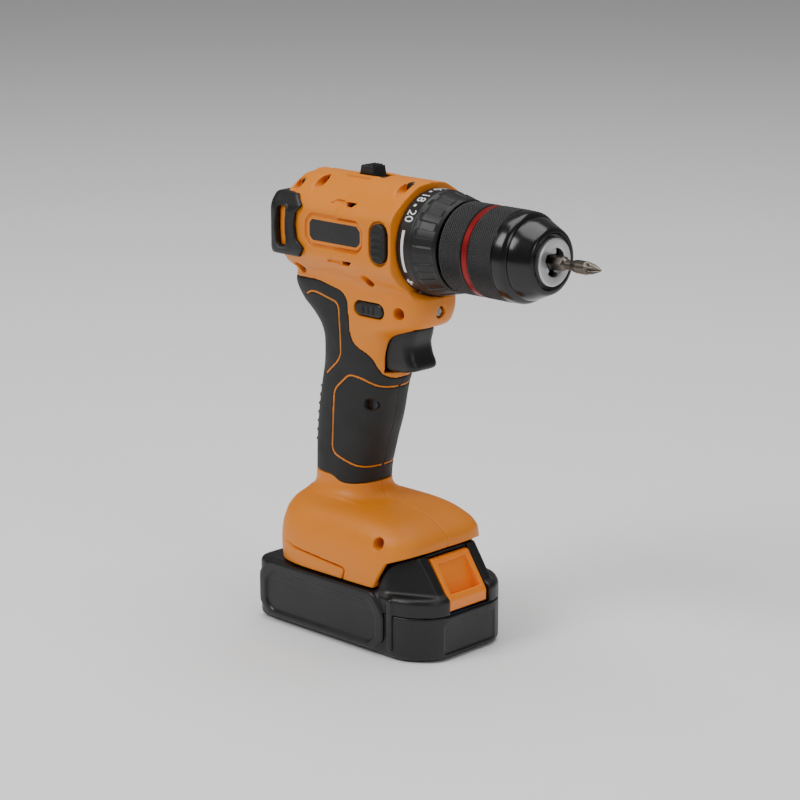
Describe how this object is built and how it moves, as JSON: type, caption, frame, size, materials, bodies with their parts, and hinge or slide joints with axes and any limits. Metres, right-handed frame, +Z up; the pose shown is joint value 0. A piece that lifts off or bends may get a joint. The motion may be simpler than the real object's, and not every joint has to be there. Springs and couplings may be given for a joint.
{
  "type": "cordless drill driver",
  "caption": "Pistol-grip cordless drill driver with a keyless chuck holding a screwdriver bit, a torque collar, a two-speed planetary gearbox and a slide-on battery.",
  "frame": {"origin": "centre of the battery's underside, on the surface the drill stands on", "axes": "+X forward along the spindle towards the bit, +Y towards the user's left, +Z up"},
  "size_m": [0.193, 0.071, 0.2318],
  "materials": {
    "amber_nylon": "fine spark-textured amber nylon",
    "black_nylon": "satin black nylon",
    "black_elastomer": "matte overmoulded elastomer",
    "orange_acetal": "satin orange acetal",
    "red_anodised": "red anodised ring",
    "black_oxide_steel": "blackened satin steel",
    "ground_steel": "ground bright steel",
    "sintered_steel": "sintered grey steel",
    "nickel_plated_magnet": "nickel plate",
    "enamelled_copper": "enamelled copper and laminations",
    "die_cast_zinc": "die-cast grey metal",
    "green_circuit_board": "green solder mask",
    "cell_sleeve": "blue shrink sleeve",
    "clear_polycarbonate": "clear moulded lens",
    "red_wire_insulation": "red insulation"
  },
  "bodies": {
    "drill": {"right_shell": "amber_nylon", "left_shell": "amber_nylon", "right_grip_rubber": "black_elastomer", "left_grip_rubber": "black_elastomer", "rear_cover": "black_nylon", "right_side_bumper": "black_elastomer", "left_side_bumper": "black_elastomer", "right_label_plate": "black_nylon", "left_label_plate": "black_nylon", "stator": "enamelled_copper", "rear_motor_bearing": "ground_steel", "motor_mount_plate": "die_cast_zinc", "front_motor_bearing": "ground_steel", "gearbox_case": "die_cast_zinc", "first_ring_gear": "sintered_steel", "spindle_bearing": "ground_steel", "clutch_spring": "ground_steel", "switch_module": "black_nylon", "lamp_lens": "clear_polycarbonate", "control_board": "green_circuit_board", "terminal_block": "black_nylon", "wire_harness": "red_wire_insulation", "top_screw_rear": "black_oxide_steel", "top_screw_middle": "black_oxide_steel", "top_screw_front": "black_oxide_steel", "rear_lower_screw": "black_oxide_steel", "chin_screw": "black_oxide_steel", "grip_screw": "black_oxide_steel", "foot_screw": "black_oxide_steel"},
    "rotor": {"rotor_core": "nickel_plated_magnet", "cooling_fan": "black_nylon", "sun_pinion": "sintered_steel"},
    "first_carrier": {"first_carrier": "ground_steel", "second_sun": "sintered_steel"},
    "first_planet_1": {"first_planet_1": "sintered_steel"},
    "first_planet_2": {"first_planet_2": "sintered_steel"},
    "first_planet_3": {"first_planet_3": "sintered_steel"},
    "spindle": {"output_spindle": "ground_steel", "chuck_body": "ground_steel", "driver_bit": "ground_steel"},
    "second_planet_1": {"second_planet_1": "sintered_steel"},
    "second_planet_2": {"second_planet_2": "sintered_steel"},
    "second_planet_3": {"second_planet_3": "sintered_steel"},
    "speed_shift": {"speed_selector": "black_nylon", "shift_fork": "ground_steel", "shifting_ring_gear": "sintered_steel"},
    "torque_collar": {"torque_collar": "black_nylon"},
    "clutch_nut": {"clutch_nut": "ground_steel"},
    "chuck_sleeve": {"chuck_sleeve": "black_oxide_steel", "red_grip_ring": "red_anodised", "jaw_nut": "ground_steel"},
    "jaw_1": {"jaw_1": "ground_steel"},
    "jaw_2": {"jaw_2": "ground_steel"},
    "jaw_3": {"jaw_3": "ground_steel"},
    "trigger": {"trigger": "black_nylon"},
    "direction_selector": {"direction_selector": "black_nylon"},
    "battery": {"battery_lower_case": "black_nylon", "battery_upper_case": "black_nylon", "cell_pack": "cell_sleeve"},
    "battery_release_button": {"battery_release_button": "orange_acetal"}
  },
  "joints": [
    {"name": "spindle_spin", "type": "hinge", "parent": "drill", "child": "spindle", "pos_m": [0.05, 0, 0.1995], "axis": [1, 0, 0], "continuous": true},
    {"name": "rotor_spin", "type": "hinge", "parent": "drill", "child": "rotor", "pos_m": [-0.025, 0, 0.1995], "axis": [1, 0, 0], "continuous": true},
    {"name": "first_carrier_spin", "type": "hinge", "parent": "drill", "child": "first_carrier", "pos_m": [0.006, 0, 0.1995], "axis": [1, 0, 0], "continuous": true},
    {"name": "first_planet_1_spin", "type": "hinge", "parent": "first_carrier", "child": "first_planet_1", "pos_m": [0, 0, 0.2103], "axis": [1, 0, 0], "continuous": true},
    {"name": "first_planet_2_spin", "type": "hinge", "parent": "first_carrier", "child": "first_planet_2", "pos_m": [0, -0.00935, 0.1941], "axis": [1, 0, 0], "continuous": true},
    {"name": "first_planet_3_spin", "type": "hinge", "parent": "first_carrier", "child": "first_planet_3", "pos_m": [0, 0.00935, 0.1941], "axis": [1, 0, 0], "continuous": true},
    {"name": "second_planet_1_spin", "type": "hinge", "parent": "spindle", "child": "second_planet_1", "pos_m": [0.0115, 0, 0.2103], "axis": [1, 0, 0], "continuous": true},
    {"name": "second_planet_2_spin", "type": "hinge", "parent": "spindle", "child": "second_planet_2", "pos_m": [0.0115, -0.00935, 0.1941], "axis": [1, 0, 0], "continuous": true},
    {"name": "second_planet_3_spin", "type": "hinge", "parent": "spindle", "child": "second_planet_3", "pos_m": [0.0115, 0.00935, 0.1941], "axis": [1, 0, 0], "continuous": true},
    {"name": "speed_selector_slide", "type": "slide", "parent": "drill", "child": "speed_shift", "axis": [1, 0, 0], "range_m": [0, 0.006]},
    {"name": "torque_collar_turn", "type": "hinge", "parent": "drill", "child": "torque_collar", "pos_m": [0.043, 0, 0.1995], "axis": [1, 0, 0], "range_deg": [-75, 225]},
    {"name": "clutch_nut_slide", "type": "slide", "parent": "drill", "child": "clutch_nut", "axis": [1, 0, 0], "range_m": [-0.0014, 0.0039]},
    {"name": "chuck_sleeve_turn", "type": "hinge", "parent": "spindle", "child": "chuck_sleeve", "pos_m": [0.08, 0, 0.1995], "axis": [1, 0, 0], "range_deg": [0, 1300]},
    {"name": "jaw_1_slide", "type": "slide", "parent": "spindle", "child": "jaw_1", "axis": [-0.9659, 0, 0.2588], "range_m": [0, 0.0066]},
    {"name": "jaw_2_slide", "type": "slide", "parent": "spindle", "child": "jaw_2", "axis": [-0.9659, -0.2241, -0.1294], "range_m": [0, 0.0066]},
    {"name": "jaw_3_slide", "type": "slide", "parent": "spindle", "child": "jaw_3", "axis": [-0.9659, 0.2241, -0.1294], "range_m": [0, 0.0066]},
    {"name": "trigger_pull", "type": "slide", "parent": "drill", "child": "trigger", "axis": [-1, 0, 0], "range_m": [0, 0.007], "stiffness_N_per_m": 400, "springref_m": -0.003},
    {"name": "direction_selector_slide", "type": "slide", "parent": "drill", "child": "direction_selector", "axis": [0, 1, 0], "range_m": [-0.0025, 0.0025]},
    {"name": "battery_slide", "type": "slide", "parent": "drill", "child": "battery", "axis": [1, 0, 0], "range_m": [0, 0.1]},
    {"name": "battery_button_press", "type": "slide", "parent": "battery", "child": "battery_release_button", "axis": [0, 0, -1], "range_m": [0, 0.003], "stiffness_N_per_m": 500, "springref_m": -0.002}
  ],
  "couplings": [
    {"joint": "rotor_spin", "follows": "spindle_spin", "ratio": 16},
    {"joint": "first_carrier_spin", "follows": "spindle_spin", "ratio": 4},
    {"joint": "first_planet_1_spin", "follows": "spindle_spin", "ratio": -12},
    {"joint": "first_planet_2_spin", "follows": "spindle_spin", "ratio": -12},
    {"joint": "first_planet_3_spin", "follows": "spindle_spin", "ratio": -12},
    {"joint": "second_planet_1_spin", "follows": "spindle_spin", "ratio": -3},
    {"joint": "second_planet_2_spin", "follows": "spindle_spin", "ratio": -3},
    {"joint": "second_planet_3_spin", "follows": "spindle_spin", "ratio": -3},
    {"joint": "clutch_nut_slide", "follows": "torque_collar_turn", "m_per_rad": 0.00095493},
    {"joint": "jaw_1_slide", "follows": "chuck_sleeve_turn", "m_per_rad": 0.00028648},
    {"joint": "jaw_2_slide", "follows": "chuck_sleeve_turn", "m_per_rad": 0.00028648},
    {"joint": "jaw_3_slide", "follows": "chuck_sleeve_turn", "m_per_rad": 0.00028648}
  ]
}
